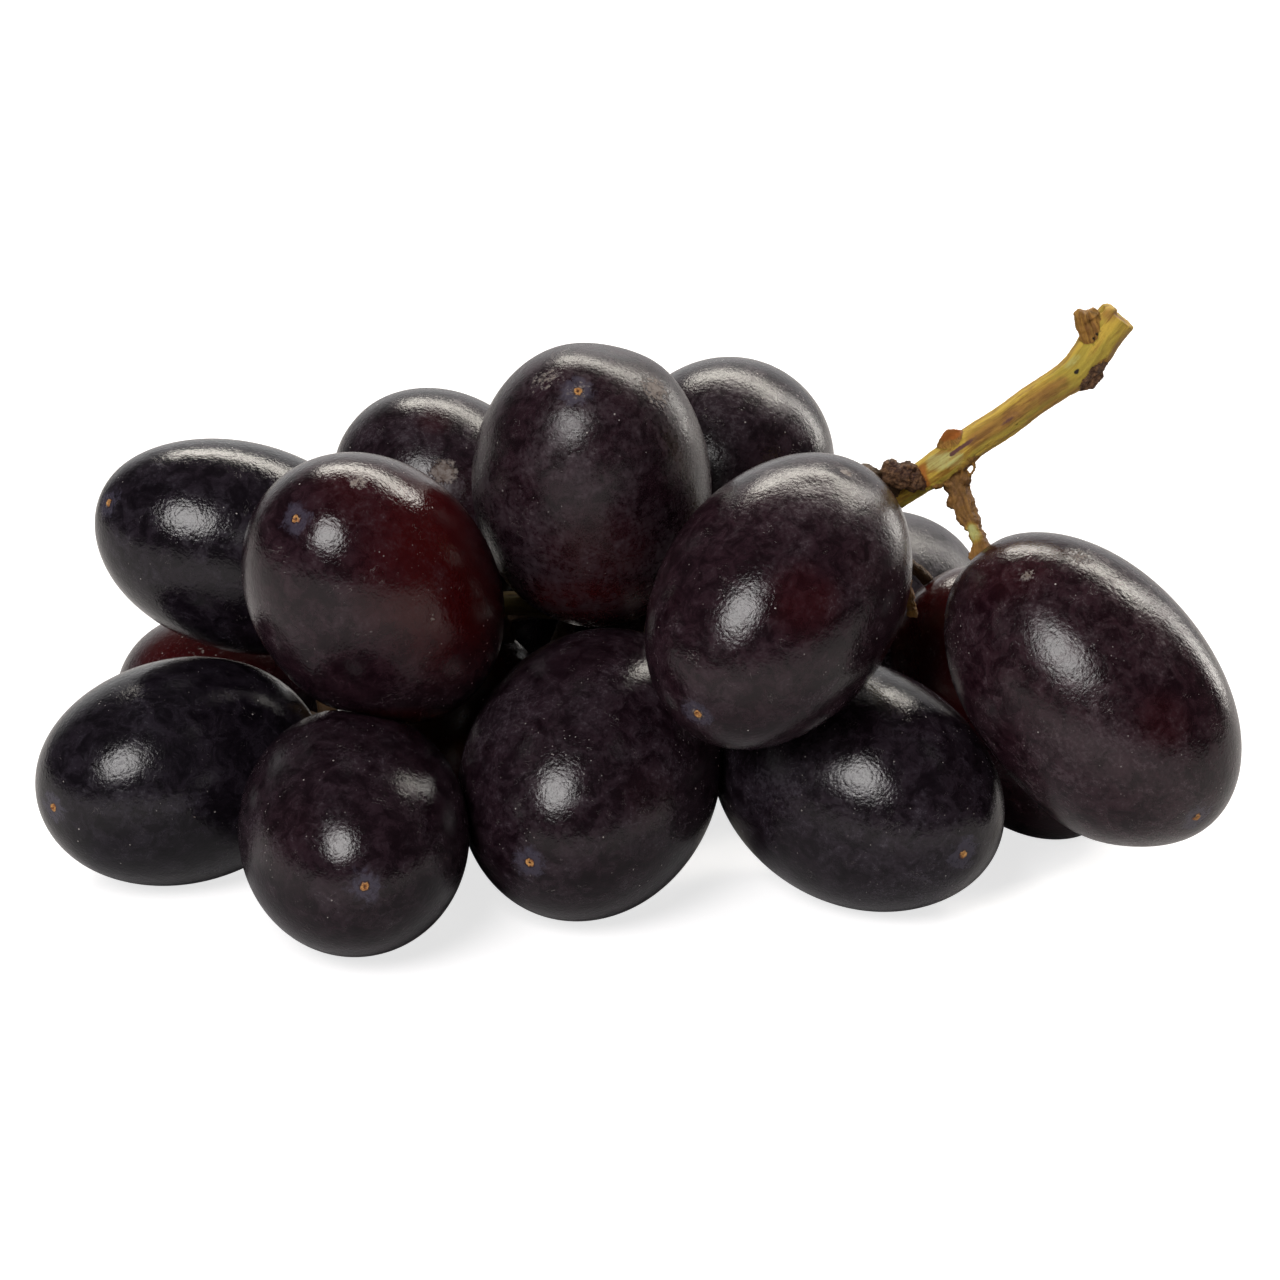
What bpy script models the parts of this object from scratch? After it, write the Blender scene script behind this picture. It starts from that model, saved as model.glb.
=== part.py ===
"""Bunch of black table grapes lying on its side, with a short cut stem.

Metres, +Z up. The origin is the middle of the bunch's footprint, at the height of the
surface that it lies on. +X runs along the bunch towards the cut end of its stem, and the
lowest grapes rest on Z = 0. The constants and tables below are in millimetres and degrees.
"""

from math import cos, pi, radians, sin

import bmesh
import bpy
from mathutils import Matrix, Vector

MM = 0.001

# Skin gap kept between any two pieces.
GAP = 0.3

# Grape mesh: segments round the long axis, and rings from end to end.
GRAPE_SEGMENTS = 20
GRAPE_RINGS = 12

# Each grape is an ellipsoid, a little longer than wide. Columns: centre x, y, z; heading of
# its blossom end (0 is -Y, 90 is +X) and its tilt above the horizontal; length and width;
# where its pedicel leaves the rachis, as a distance from the cut end; pedicel radius.
GRAPES = {
    "grape_front_1": (-41.4, -9.4, 10.1, -57, 0, 27.7, 20.5, 91, 0.6),
    "grape_front_2": (-24.9, -24.2, 10, 7, -5, 28, 20.3, 90, 0.6),
    "grape_front_3": (-3.8, -14.9, 11.9, -17, -21, 30.2, 23.2, 53, 0.65),
    "grape_front_4": (20, -14, 10.7, 50, -12, 29.6, 21.4, 47, 0.7),
    "grape_top_1": (-36.1, 1.8, 27.9, -83, 21, 27.9, 19.1, 85, 0.6),
    "grape_top_2": (-23.2, -15, 29.6, -41, 50, 29.3, 21.7, 75, 0.6),
    "grape_top_3": (-17.8, 13.6, 28.7, -114, 33, 22.5, 19.1, 69, 0.6),
    "grape_top_4": (-3.9, -4, 35.6, -5, 59, 30.1, 21.8, 60, 0.65),
    "grape_top_5": (8.3, 16.6, 30.3, 155, 23, 23.3, 20.4, 52, 0.6),
    "grape_top_6": (12.8, -19.5, 30.2, -37, -32, 29.7, 21.5, 26, 0.75),
    "grape_right_1": (40.8, -18.6, 21.4, 58, -41, 31.9, 21.5, 20, 0.85),
    "grape_right_2": (35.4, 2.5, 12.3, 68, -51, 28.2, 19.5, 38, 0.65),
    "grape_back_1": (-39.2, 12.2, 8.7, -127, -2, 22, 17.4, 90, 0.6),
    "grape_back_2": (-16.6, 23.5, 10.3, -165, -30, 24, 19.5, 63, 0.65),
    "grape_back_3": (3, 27.5, 10.3, 170, -40, 23, 19.4, 59, 0.65),
    "grape_back_4": (23.4, 21.6, 14.4, 142, -3, 24, 19.6, 48, 0.7),
    "grape_back_5": (-5.5, 28.3, 26.7, -172, 12, 20.5, 17.2, 62, 0.6),
    "grape_inner_1": (-17.3, 2.2, 9.9, -90, -60, 21, 17.2, 71, 0.6),
    "grape_inner_2": (2.5, 8, 8.7, 100, -15, 20, 17.5, 62, 0.6),
}

# The peduncle and the rachis that it runs on into, from the cut end to the tip: x, y, z, radius.
RACHIS = [
    (43, -3.5, 51.6, 1.9),
    (41, -3.7, 49.2, 1.75),
    (38.6, -4.5, 46.1, 1.35),
    (34, -5.7, 43, 1.35),
    (29.9, -6.5, 40.3, 1.55),
    (25.4, -5.2, 35.2, 1.4),
    (14.5, -0.5, 27.5, 1.3),
    (5.5, 3, 23.5, 1.25),
    (-3.5, 6, 20.3, 1.2),
    (-12.5, 2, 22.2, 1.1),
    (-19.5, -0.8, 21.2, 1.0),
    (-25.5, -2.2, 18.3, 0.9),
    (-28.5, -3, 15, 0.8),
]
RACHIS_SIDES = 10
# Rings in each span between two of the rachis's points.
RACHIS_STEPS = 3

# A pedicel swells where it leaves the rachis, and flares into a collar at its grape.
PEDICEL_SIDES = 8
PEDICEL_RINGS = 7
PEDICEL_BASE_SWELL = 1.5
PEDICEL_COLLAR_SWELL = 1.7
# How far out of the grape the pedicel points straight, as a share of its span.
PEDICEL_REACH = 0.35

# Woody lumps on the stem: x, y, z, radius.
KNOBS = {
    "head_knob": (39.6, -4, 50.6, 1.5),
    "head_corner": (44.5, -3.4, 50.8, 1.1),
    "head_thorn": (41.2, -4.5, 46.4, 1.0),
    "bract_scar": (28.3, -6.5, 41.6, 0.9),
    "branch_stub": (23.6, -6, 37.2, 1.6),
}
# A pedicel that dried up with no grape: its points and radii.
DRY_PEDICEL = [
    (23.5, -4.4, 33.6, 0.5),
    (24.2, -7.5, 30.5, 0.35),
    (24.8, -9.7, 26.4, 0.6),
]

# Colour, roughness and metallic value of each material.
SKIN_LOOKS = ((0.016, 0.010, 0.020, 1.0), 0.35, 0.0)
STEM_LOOKS = ((0.36, 0.30, 0.08, 1.0), 0.6, 0.0)


def clear_scene():
    for old in list(bpy.data.objects):
        bpy.data.objects.remove(old, do_unlink=True)


def material(name, looks):
    colour, roughness, metallic = looks
    made = bpy.data.materials.new(name)
    made.use_nodes = True
    shader = made.node_tree.nodes["Principled BSDF"]
    shader.inputs["Base Color"].default_value = colour
    shader.inputs["Roughness"].default_value = roughness
    shader.inputs["Metallic"].default_value = metallic
    return made


def new_object(name, bm, looks):
    """An object of its own material, from the bmesh, which it frees."""
    mesh = bpy.data.meshes.new(name)
    bmesh.ops.recalc_face_normals(bm, faces=bm.faces)
    bm.to_mesh(mesh)
    bm.free()
    mesh.shade_smooth()
    mesh.materials.append(material(name + "_material", looks))
    made = bpy.data.objects.new(name, mesh)
    bpy.context.scene.collection.objects.link(made)
    return made


class Ellipsoid:
    """One grape's shape: its centre, its axis towards the blossom end, and its half sizes, in mm."""

    def __init__(self, x, y, z, heading, tilt, length, width):
        flat = cos(radians(tilt))
        turn = radians(heading)
        self.centre = Vector((x, y, z))
        self.axis = Vector((flat * sin(turn), -flat * cos(turn), sin(radians(tilt))))
        self.half_length = length / 2
        self.half_width = width / 2

    def support(self, normal):
        """The point of the surface that lies furthest along the normal."""
        along = self.axis.dot(normal)
        stretched = self.half_width**2 * normal
        stretched += (self.half_length**2 - self.half_width**2) * along * self.axis
        return self.centre + stretched / normal.dot(stretched) ** 0.5

    def stem_end(self):
        return self.centre - self.axis * (self.half_length + GAP)

    def placement(self):
        turn = self.axis.to_track_quat("Z", "Y").to_matrix().to_4x4()
        return Matrix.Translation(self.centre * MM) @ turn


def contact(first, second):
    """The plane where two grapes touch, as its normal towards the second and its place along
    that normal, and the gap there, which is negative where the grapes press together."""
    best_gap = -1e9
    normal = (second.centre - first.centre).normalized()
    for _ in range(60):
        ahead = first.support(normal)
        behind = second.support(-normal)
        space = (behind - ahead).dot(normal)
        if space > best_gap:
            best_gap = space
            best_normal = normal.copy()
            middle = (ahead.dot(normal) + behind.dot(normal)) / 2
        normal = (normal + 0.05 * (behind - ahead)).normalized()
    return best_normal, middle, best_gap


def contact_planes(shapes):
    """Each grape's contact planes, as outward normals and places along them, in mm."""
    planes = {name: [(Vector((0, 0, -1)), 0.0)] for name in shapes}
    names = list(shapes)
    for count, name in enumerate(names):
        for other in names[count + 1 :]:
            normal, middle, space = contact(shapes[name], shapes[other])
            if space < GAP:
                planes[name].append((normal, middle - GAP / 2))
                planes[other].append((-normal, -middle - GAP / 2))
    return planes


def grape(name, shape, planes):
    """An ellipsoid, flattened where it presses on its neighbours and on the surface below."""
    bm = bmesh.new()
    bmesh.ops.create_uvsphere(bm, u_segments=GRAPE_SEGMENTS, v_segments=GRAPE_RINGS, radius=1)
    size = (shape.half_width * MM, shape.half_width * MM, shape.half_length * MM)
    bmesh.ops.scale(bm, vec=size, verts=bm.verts)
    to_world = shape.placement()
    to_local = to_world.inverted()
    for vert in bm.verts:
        place = to_world @ vert.co
        for normal, limit in planes:
            beyond = place.dot(normal) - limit * MM
            if beyond > 0:
                place -= beyond * normal
        vert.co = to_local @ place
    made = new_object(name, bm, SKIN_LOOKS)
    made.matrix_world = to_world
    return made


def smooth_path(points, steps):
    """A smooth curve through the points, each an (x, y, z, radius), with steps in each span."""
    ends = [Vector(p) for p in points]
    ends = [2 * ends[0] - ends[1], *ends, 2 * ends[-1] - ends[-2]]
    path = []
    for a, b, c, d in zip(ends, ends[1:], ends[2:], ends[3:]):
        for step in range(steps):
            t = step / steps
            line = (c - a) * t
            square = (2 * a - 5 * b + 4 * c - d) * t**2
            cube = (3 * b - a - 3 * c + d) * t**3
            path.append((2 * b + line + square + cube) / 2)
    path.append(ends[-2])
    return path


def point_at(path, distance):
    """The point of the path at this distance from its start."""
    for a, b in zip(path, path[1:]):
        step = (b.xyz - a.xyz).length
        if distance <= step:
            return a.lerp(b, distance / step)
        distance -= step
    return path[-1]


def tube(name, path, sides):
    """A closed tube along the path, round at each point with the point's own radius."""
    bm = bmesh.new()
    rings = []
    across = None
    for index, point in enumerate(path):
        ahead = path[min(index + 1, len(path) - 1)].xyz - path[max(index - 1, 0)].xyz
        ahead.normalize()
        if across is None:
            across = ahead.orthogonal()
        across = (across - across.dot(ahead) * ahead).normalized()
        other = ahead.cross(across)
        ring = []
        for side in range(sides):
            angle = 2 * pi * side / sides
            offset = point.w * (cos(angle) * across + sin(angle) * other)
            ring.append(bm.verts.new((point.xyz + offset) * MM))
        rings.append(ring)
    for low, high in zip(rings, rings[1:]):
        for side in range(sides):
            after = (side + 1) % sides
            bm.faces.new((low[side], low[after], high[after], high[side]))
    bm.faces.new(rings[0])
    bm.faces.new(rings[-1])
    return new_object(name, bm, STEM_LOOKS)


def pedicel(name, shape, start, radius):
    """The grape's own stalk, which bends to leave the grape straight along its axis."""
    end = shape.stem_end()
    bend = end - shape.axis * (start - end).length * PEDICEL_REACH
    path = []
    for ring in range(PEDICEL_RINGS):
        t = ring / (PEDICEL_RINGS - 1)
        place = (1 - t) ** 2 * start + 2 * t * (1 - t) * bend + t**2 * end
        swell = 1 + (PEDICEL_BASE_SWELL - 1) * (1 - t) ** 3
        swell += (PEDICEL_COLLAR_SWELL - 1) * t**6
        path.append(Vector((*place, radius * swell)))
    return tube(name, path, PEDICEL_SIDES)


def knob(name, x, y, z, radius):
    bm = bmesh.new()
    bmesh.ops.create_icosphere(bm, subdivisions=2, radius=radius * MM)
    made = new_object(name, bm, STEM_LOOKS)
    made.location = Vector((x, y, z)) * MM
    return made


def grow_together(stem, piece):
    """Unites a piece with the stem, and keeps the piece only as a guide."""
    union = stem.modifiers.new("with_" + piece.name, "BOOLEAN")
    union.operation = "UNION"
    union.object = piece
    piece.hide_render = True
    piece.display_type = "WIRE"


def make_stem(shapes):
    """The peduncle, rachis and pedicels, which grew as one piece."""
    route = smooth_path(RACHIS, RACHIS_STEPS)
    stem = tube("stem", route, RACHIS_SIDES)
    pieces = [knob(name, *spot) for name, spot in KNOBS.items()]
    pieces.append(tube("dry_pedicel", smooth_path(DRY_PEDICEL, 3), PEDICEL_SIDES))
    for name, row in GRAPES.items():
        joins_at, radius = row[7:]
        start = point_at(route, joins_at).xyz
        pieces.append(pedicel(name.replace("grape", "pedicel"), shapes[name], start, radius))
    for piece in pieces:
        grow_together(stem, piece)
    return stem


def main():
    clear_scene()
    shapes = {name: Ellipsoid(*row[:7]) for name, row in GRAPES.items()}
    planes = contact_planes(shapes)
    for name, shape in shapes.items():
        grape(name, shape, planes[name])
    make_stem(shapes)


main()
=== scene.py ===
"""The looks of a bunch of black table grapes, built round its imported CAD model.

Lengths in the tables are in millimetres and angles in degrees, as in the CAD source. The
scene is in metres, +Z up, with the bunch resting on Z = 0.
"""

from math import cos, inf, pi, radians, sin

import bpy
import numpy as np
from mathutils import Matrix, Vector, kdtree, noise


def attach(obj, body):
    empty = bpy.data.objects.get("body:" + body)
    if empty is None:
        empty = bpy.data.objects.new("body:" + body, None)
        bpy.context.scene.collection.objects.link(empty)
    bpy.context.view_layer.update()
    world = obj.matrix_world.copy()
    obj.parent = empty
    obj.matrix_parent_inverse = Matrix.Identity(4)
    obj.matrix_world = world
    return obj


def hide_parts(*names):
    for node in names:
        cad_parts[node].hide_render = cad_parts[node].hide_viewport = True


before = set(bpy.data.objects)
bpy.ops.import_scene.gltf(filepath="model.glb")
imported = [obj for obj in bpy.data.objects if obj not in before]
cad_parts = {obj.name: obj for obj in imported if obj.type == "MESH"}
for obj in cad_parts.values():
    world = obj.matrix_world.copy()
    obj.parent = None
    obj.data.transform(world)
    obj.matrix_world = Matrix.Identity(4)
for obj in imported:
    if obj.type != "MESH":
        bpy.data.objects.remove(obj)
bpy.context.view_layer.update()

MM = 0.001

# Centre x, y, z; heading and tilt of the blossom end; length and width; where the pedicel
# leaves the rachis, as a distance from the cut end; pedicel radius. As in the CAD source.
GRAPES = {
    "grape_front_1": (-41.4, -9.4, 10.1, -57, 0, 27.7, 20.5, 91, 0.6),
    "grape_front_2": (-24.9, -24.2, 10, 7, -5, 28, 20.3, 90, 0.6),
    "grape_front_3": (-3.8, -14.9, 11.9, -17, -21, 30.2, 23.2, 53, 0.65),
    "grape_front_4": (20, -14, 10.7, 50, -12, 29.6, 21.4, 47, 0.7),
    "grape_top_1": (-36.1, 1.8, 27.9, -83, 21, 27.9, 19.1, 85, 0.6),
    "grape_top_2": (-23.2, -15, 29.6, -41, 50, 29.3, 21.7, 75, 0.6),
    "grape_top_3": (-17.8, 13.6, 28.7, -114, 33, 22.5, 19.1, 69, 0.6),
    "grape_top_4": (-3.9, -4, 35.6, -5, 59, 30.1, 21.8, 60, 0.65),
    "grape_top_5": (8.3, 16.6, 30.3, 155, 23, 23.3, 20.4, 52, 0.6),
    "grape_top_6": (12.8, -19.5, 30.2, -37, -32, 29.7, 21.5, 26, 0.75),
    "grape_right_1": (40.8, -18.6, 21.4, 58, -41, 31.9, 21.5, 20, 0.85),
    "grape_right_2": (35.4, 2.5, 12.3, 68, -51, 28.2, 19.5, 38, 0.65),
    "grape_back_1": (-39.2, 12.2, 8.7, -127, -2, 22, 17.4, 90, 0.6),
    "grape_back_2": (-16.6, 23.5, 10.3, -165, -30, 24, 19.5, 63, 0.65),
    "grape_back_3": (3, 27.5, 10.3, 170, -40, 23, 19.4, 59, 0.65),
    "grape_back_4": (23.4, 21.6, 14.4, 142, -3, 24, 19.6, 48, 0.7),
    "grape_back_5": (-5.5, 28.3, 26.7, -172, 12, 20.5, 17.2, 62, 0.6),
    "grape_inner_1": (-17.3, 2.2, 9.9, -90, -60, 21, 17.2, 71, 0.6),
    "grape_inner_2": (2.5, 8, 8.7, 100, -15, 20, 17.5, 62, 0.6),
}

# Which way the blossom scar lies from the grape's centre, where it isn't on the axis.
SCARS = {
    "grape_top_1": (-72, 24),
    "grape_top_2": (-36, 42),
    "grape_top_4": (-7, 53),
    "grape_top_6": (-34, -27),
    "grape_right_1": (43, -34),
    "grape_front_1": (-52, -1),
    "grape_front_2": (7, 2),
    "grape_front_3": (-22, -12),
    "grape_front_4": (40, -10),
}

# Dents and swellings: heading and tilt from the grape's centre, height, radius.
DENTS = {
    "grape_top_4": [(38, 77, -0.5, 3.5), (75, 60, 0.35, 4), (30, -8, -0.25, 4)],
    "grape_right_1": [(-63, -21, -0.55, 5), (-9, -66, 0.45, 4.5), (-80, 83, -0.1, 0.9)],
    "grape_top_2": [(31, 3, -0.1, 0.7), (34, 1, 0.06, 0.5), (45, 10, -0.05, 0.4)],
    "grape_top_6": [(105, 62, -0.12, 0.8), (59, 75, -0.1, 1.2), (95, 68, 0.08, 0.7)],
    "grape_front_1": [(10, -2, 0.07, 0.45), (-5, 17, 0.06, 0.4)],
    "grape_front_4": [(-35, -8, -0.12, 1.6), (27, 17, -0.08, 1.0)],
    "grape_top_3": [(1, 33, -0.1, 1.0)],
}

# Painted light coming through thin, translucent skin, partly the skin's own red: heading, tilt,
# spread in degrees, strength. Up to 1 it is red, and from there to 2 amber.
PAINTED_GLOWS = {
    "grape_top_1": [(20, -40, 40, 0.25)],
    "grape_top_2": [(61, 20, 74, 1.0), (10, 60, 40, 0.5), (25, -75, 26, 1.6)],
    "grape_top_3": [(-10, 65, 16, 0.5), (10, 20, 35, 0.4)],
    "grape_top_4": [(5, -18, 40, 0.55), (0, -60, 40, 1.0)],
    "grape_top_6": [(11, 19, 26, 0.6), (50, 30, 25, 0.3)],
    "grape_right_1": [(27, 6, 20, 0.5), (-91, 58, 30, 0.5)],
    "grape_right_2": [(-63, 40, 70, 1.0)],
    "grape_front_2": [(-30, 20, 30, 0.3)],
    "grape_front_3": [(25, 10, 25, 0.3)],
    "grape_back_1": [(-18, 53, 70, 1.0)],
    "grape_back_2": [(-60, 20, 50, 0.6)],
    "grape_back_3": [(150, 30, 45, 0.7)],
    "grape_back_5": [(-150, 40, 40, 0.4)],
    "grape_inner_1": [(-10, 40, 80, 1.9)],
    "grape_inner_2": [(0, 40, 80, 1.0)],
}

# Russet spots and crumbly patches of bloom: heading, tilt, radius in mm, strength.
CRUSTS = {
    "grape_top_2": [(31, 3, 0.6, 0.8), (-8, 62, 1.3, 0.75)],
    "grape_top_3": [(1, 33, 1.4, 1.3)],
    "grape_top_4": [(44, 53, 2.2, 0.95), (-30, 58, 2.0, 0.7), (-7, 53, 1.4, 0.7)],
    "grape_top_6": [(105, 62, 0.7, 1.1), (-34, -27, 1.1, 0.8)],
    "grape_right_1": [(-80, 83, 1.6, 0.8), (-70, 60, 0.8, 0.9)],
    "grape_front_1": [(10, -2, 0.4, 0.7), (-5, 17, 0.4, 0.7)],
    "grape_back_1": [(-18, 53, 1.6, 0.5)],
    "grape_back_3": [(150, 30, 1.6, 0.9)],
    "grape_back_5": [(-170, 40, 1.4, 0.8)],
}

# Wide dull patches, where the skin is hazy: heading, tilt, radius in mm, strength.
HAZES = {
    "grape_top_2": [(-60, -5, 5, 0.5), (23, -36, 4, 0.5)],
    "grape_top_3": [(20, 45, 6, 0.6)],
    "grape_top_4": [(50, 50, 6, 0.5), (-20, 10, 6, 0.4)],
    "grape_top_5": [(10, 60, 6, 0.7)],
    "grape_top_6": [(80, 52, 6.5, 1.0), (-30, -5, 6, 0.35)],
    "grape_right_1": [(-30, 5, 8, 0.6), (20, -50, 6, 0.6)],
    "grape_front_2": [(-50, 30, 6, 0.4)],
    "grape_front_3": [(-40, 45, 6, 0.5), (10, -30, 6, 0.5)],
    "grape_front_4": [(-35, 5, 6, 0.8), (20, -25, 5, 0.6)],
    "grape_back_2": [(170, 20, 6, 0.7)],
    "grape_back_3": [(120, 30, 6, 0.7)],
    "grape_back_4": [(60, 50, 8, 0.8)],
    "grape_back_5": [(-150, 10, 6, 0.7)],
}

# How thickly the waxy bloom covers each grape, how dull its skin is, and how warm its colour.
BLOOM = {
    "grape_top_1": (0.35, -0.02, 0.15),
    "grape_top_2": (0.3, -0.02, 0.85),
    "grape_top_3": (0.7, 0.03, 0.55),
    "grape_top_4": (0.75, 0.09, 0.8),
    "grape_top_5": (0.5, 0.01, 0.6),
    "grape_top_6": (0.5, 0.0, 0.8),
    "grape_right_1": (0.7, 0.01, 1.0),
    "grape_right_2": (0.35, 0.0, 1.0),
    "grape_front_1": (0.35, 0.02, 0.1),
    "grape_front_2": (0.45, 0.0, 0.6),
    "grape_front_3": (0.5, 0.01, 0.6),
    "grape_front_4": (0.6, 0.0, 0.3),
    "grape_back_1": (0.5, 0.05, 0.9),
    "grape_back_4": (1.2, 0.08, 0.3),
}
USUAL_BLOOM = (0.5, 0.01, 0.6)

# The peduncle and rachis, from the cut end to the tip: x, y, z, radius.
RACHIS = [
    (43.4, -3.5, 51.6, 1.75),
    (42.2, -3.6, 50, 1.75),
    (41, -3.9, 48.1, 1.75),
    (39.7, -4.3, 46.6, 1.65),
    (38, -4.7, 45.5, 1.48),
    (35.5, -5.2, 43.9, 1.45),
    (32.9, -5.8, 42.1, 1.47),
    (30.6, -6.2, 40.7, 1.5),
    (28.8, -6.5, 39.3, 1.6),
    (27.5, -6.4, 38.3, 1.6),
    (25.9, -6, 37.1, 1.4),
    (24, -5, 35.4, 1.35),
    (14.5, -0.5, 27.5, 1.3),
    (5.5, 3, 23.5, 1.25),
    (-3.5, 6, 20.3, 1.2),
    (-12.5, 2, 22.2, 1.1),
    (-19.5, -0.8, 21.2, 1.0),
    (-25.5, -2.2, 18.3, 0.9),
    (-28.5, -3, 15, 0.8),
]

# The other woody parts, as paths of x, y, z, radius, with the kind of surface.
TWIGS = [
    # The knob beside the cut end, left where another shoot broke off.
    ("head", [(41.6, -4.1, 48.6, 1.0), (40.9, -4.3, 50.2, 1.1), (40.4, -4.4, 51.9, 1.15)]),
    # The dead stub of a side branch.
    (
        "stub",
        [
            (25.7, -6.8, 37.2, 0.95),
            (24.4, -7.2, 37.5, 1.1),
            (23.2, -7.4, 37.9, 1.05),
            (22.1, -7.4, 38.1, 0.75),
        ],
    ),
    # The rim of the torn bract, the dead scale under the head and the curl of loose bark.
    (
        "bract",
        [
            (27.4, -6.4, 40.2, 0.3),
            (27.8, -6.6, 41.2, 0.26),
            (28.3, -6.6, 41.7, 0.24),
            (29.2, -6.4, 41.6, 0.2),
        ],
    ),
    (
        "scale",
        [
            (39.6, -5, 45.2, 0.2),
            (40.7, -5, 45.4, 0.3),
            (41.5, -4.9, 45.9, 0.3),
            (42.1, -4.8, 46.5, 0.18),
        ],
    ),
    ("scale", [(41.8, -4.6, 47.4, 0.3), (42.3, -4.6, 47.1, 0.13)]),
    (
        "bract",
        [
            (30.3, -7, 39.2, 0.2),
            (30.55, -7.3, 38.6, 0.17),
            (30.35, -7.5, 38.1, 0.16),
            (29.7, -7.4, 37.3, 0.22),
        ],
    ),
    # The dried pedicel of a lost grape.
    (
        "twig",
        [
            (23.5, -4.4, 33.6, 0.5),
            (24.2, -7.5, 30.5, 0.35),
            (24.9, -9.5, 26.6, 0.4),
            (25.1, -9.8, 25.6, 0.42),
        ],
    ),
]
# The pedicel of the grape on the right is a short side branch in plain view.
SIDE_BRANCH = [
    (27.9, -6.5, 38.2, 1.2),
    (29, -6.8, 36.6, 0.98),
    (29.5, -7.7, 35.6, 1.02),
    (29.8, -8.8, 34.7, 0.95),
    (30.4, -9.9, 33.8, 0.72),
    (30.8, -10.9, 33, 0.64),
    (31, -11.6, 32.4, 0.8),
    (31.2, -12.5, 31.4, 1.0),
]
# Lumps on the wood: centre, half sizes, roughness, kind of surface.
LUMPS = [
    ((40.1, -4.6, 52), (0.75, 0.8, 0.5), 0.35, "head"),
    ((41.2, -4, 52.1), (0.5, 0.7, 0.45), 0.4, "head"),
    ((42.5, -3.6, 52.1), (0.7, 1.1, 0.5), 0.5, "end"),
    ((24.6, -7.4, 38.5), (0.8, 0.7, 0.55), 0.6, "stub"),
    ((23.1, -7.5, 38.7), (0.7, 0.7, 0.5), 0.6, "stub"),
    ((25.1, -7.4, 36.9), (0.7, 0.6, 0.6), 0.5, "stub"),
    ((28.3, -6.5, 41.1), (0.8, 0.22, 0.5), 0.3, "bract"),
    ((27.2, -7.1, 36.9), (0.55, 0.5, 0.5), 0.4, "twig"),
    ((28.7, -7.8, 35.5), (0.6, 0.55, 0.6), 0.4, "twig"),
    ((29.3, -8.9, 34.4), (0.45, 0.45, 0.5), 0.5, "twig"),
    ((29.8, -7.4, 37.4), (0.6, 0.5, 0.6), 0.4, "twig"),
    ((31.3, -11.6, 32.3), (0.85, 0.75, 0.42), 0.7, "collar"),
    ((30.6, -12, 31.9), (0.9, 0.75, 0.42), 0.7, "collar"),
    ((25.1, -9.9, 25.6), (0.5, 0.4, 0.6), 0.8, "bract"),
]
# Where the wood is sunken: centre, radius, depth.
HOLLOWS = [
    ((40.9, -5.3, 51.6), 0.45, 0.5),
    ((40.3, -5.6, 51.2), 0.25, 0.3),
    ((41.6, -3.9, 52.4), 0.35, 0.6),
    ((43, -4.3, 52.2), 0.22, 0.25),
    ((24, -8.5, 38.2), 0.3, 0.3),
    ((25.3, -8.2, 37.6), 0.25, 0.25),
]
# Coloured places on the wood, and painted shade deep in the bunch: layer, start, end, radius,
# strength.
STAINS_AND_SHADE = [
    ("pale", (26.8, -7.6, 39), (28.8, -8, 39.6), 1.1, 0.6),
    ("pale", (30.2, -10.6, 33.8), (30.6, -11.3, 33.2), 0.55, 0.75),
    ("pale", (38.7, -5.6, 47.6), (40.2, -5, 48.4), 0.5, 0.5),
    ("purple", (28.4, -8, 40), (30.9, -7.7, 41.8), 0.26, 1.0),
    ("purple", (31.6, -7.6, 41.9), (33.8, -7.2, 43.1), 0.22, 0.7),
    ("purple", (30.9, -7.6, 41.6), (37, -6.2, 44.7), 0.6, 0.32),
    ("rust", (25.9, -7.2, 38.4), (26.2, -7.4, 37), 0.6, 0.7),
    ("rust", (27.8, -6.7, 41.3), (28.9, -6.6, 41.5), 0.6, 0.8),
    ("brown", (30.5, -7.6, 41.2), (38.3, -6.2, 46), 0.85, 0.8),
    ("brown", (35.5, -6.4, 42.9), (40.3, -5.4, 46), 0.5, 0.6),
    ("brown", (43.9, -4, 50.6), (42.3, -4.6, 47.9), 0.8, 0.7),
    ("brown", (42.5, -4.5, 51.9), (43.9, -4, 51.4), 0.7, 0.8),
    ("brown", (28.6, -7.2, 36.4), (31.3, -12, 32), 1.5, 1.0),
    ("dark", (41.1, -5.5, 50), (41.15, -5.5, 49.9), 0.16, 1.0),
    ("dark", (41.4, -5.4, 50.4), (41.45, -5.4, 50.4), 0.18, 1.0),
    ("dark", (39.5, -5.9, 47), (39.7, -5.8, 47.1), 0.16, 0.9),
    ("dark", (38.4, -6.1, 46.4), (38.5, -6.1, 46.5), 0.13, 0.7),
    ("dark", (34.6, -6, 45.2), (34.7, -6, 45.2), 0.15, 0.9),
    ("dark", (34.2, -7, 42.4), (34.3, -7, 42.5), 0.14, 0.7),
    ("dark", (24.9, -7.9, 36.2), (25, -7.9, 36.2), 0.2, 0.9),
    ("purple", (24.9, -7.6, 38), (23.4, -7.8, 38.6), 0.7, 0.8),
    # Painted shade on the rachis and pedicels deep inside the bunch.
    ("shade", (19, -2.7, 31.3), (5.5, 3, 23.5), 3, 1.0),
    ("shade", (5.5, 3, 23.5), (-29, -3, 15), 8, 1.0),
]
LAYERS = ("pale", "brown", "purple", "rust", "dark", "shade")
# How brown and how corky each kind of surface is.
SURFACES = {
    "green": (0.0, 0.0),
    "side": (1.0, 0.62),
    "twig": (1.0, 0.52),
    "collar": (1.0, 0.6),
    "head": (0.85, 0.15),
    "stub": (1.0, 0.9),
    "end": (0.6, 0.1),
    "scale": (1.0, 0.95),
    "bract": (0.9, 0.0),
}


# ---------------------------------------------------------------- directions and contacts

# The search for the plane between two grapes: how often its normal turns, and how far.
CONTACT_TURNS = 60
CONTACT_TURN = 0.05
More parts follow.
